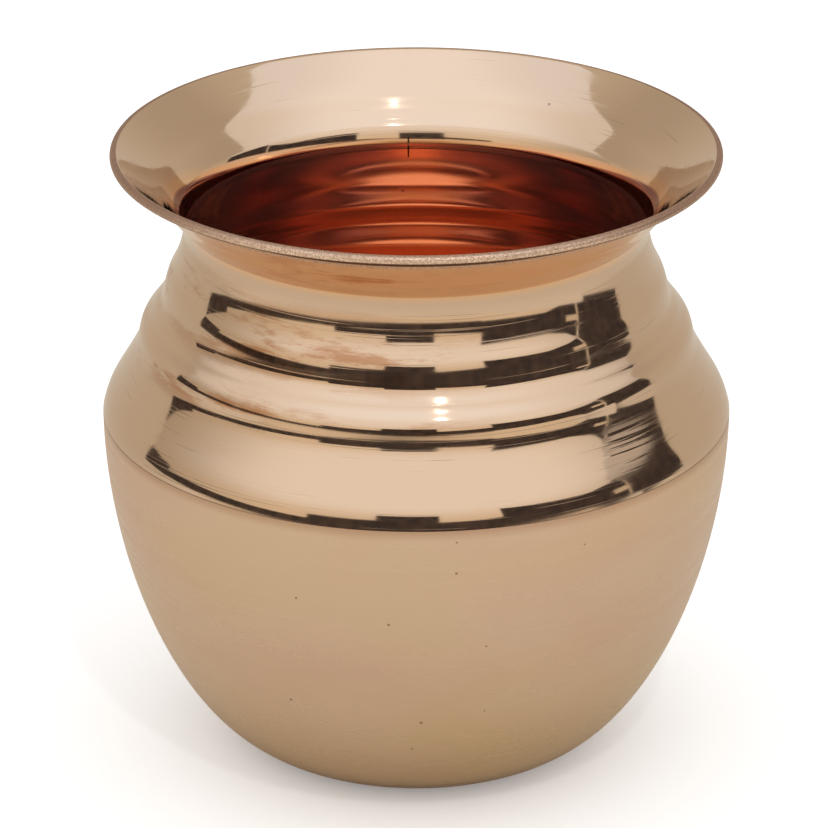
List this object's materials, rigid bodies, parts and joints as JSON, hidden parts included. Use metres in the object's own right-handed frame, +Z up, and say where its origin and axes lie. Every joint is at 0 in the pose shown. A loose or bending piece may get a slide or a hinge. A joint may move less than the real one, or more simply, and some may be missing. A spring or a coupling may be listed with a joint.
{
  "type": "lota water pot",
  "caption": "Small round-bellied copper water pot with a stepped shoulder, narrow neck and flared mouth with a wired rim.",
  "frame": {"origin": "centre of the flat base, on the surface that the pot stands on", "axes": "+Z up along the pot's axis; -Y is the side seen in the picture, and the neck's upright seam is on the +Y side"},
  "size_m": [0.11, 0.11, 0.1099],
  "materials": {
    "satin_copper": "satin copper with fine brush lines round the axis",
    "polished_copper": "polished copper",
    "dull_copper": "unpolished copper",
    "brazing": "dull brazing metal"
  },
  "bodies": {
    "root": {"bowl": "satin_copper", "shoulder": "polished_copper", "neck": "polished_copper", "rim_wire": "dull_copper", "neck_seam_braze": "brazing", "neck_joint_braze": "brazing", "belly_joint_braze": "brazing"}
  },
  "joints": []
}
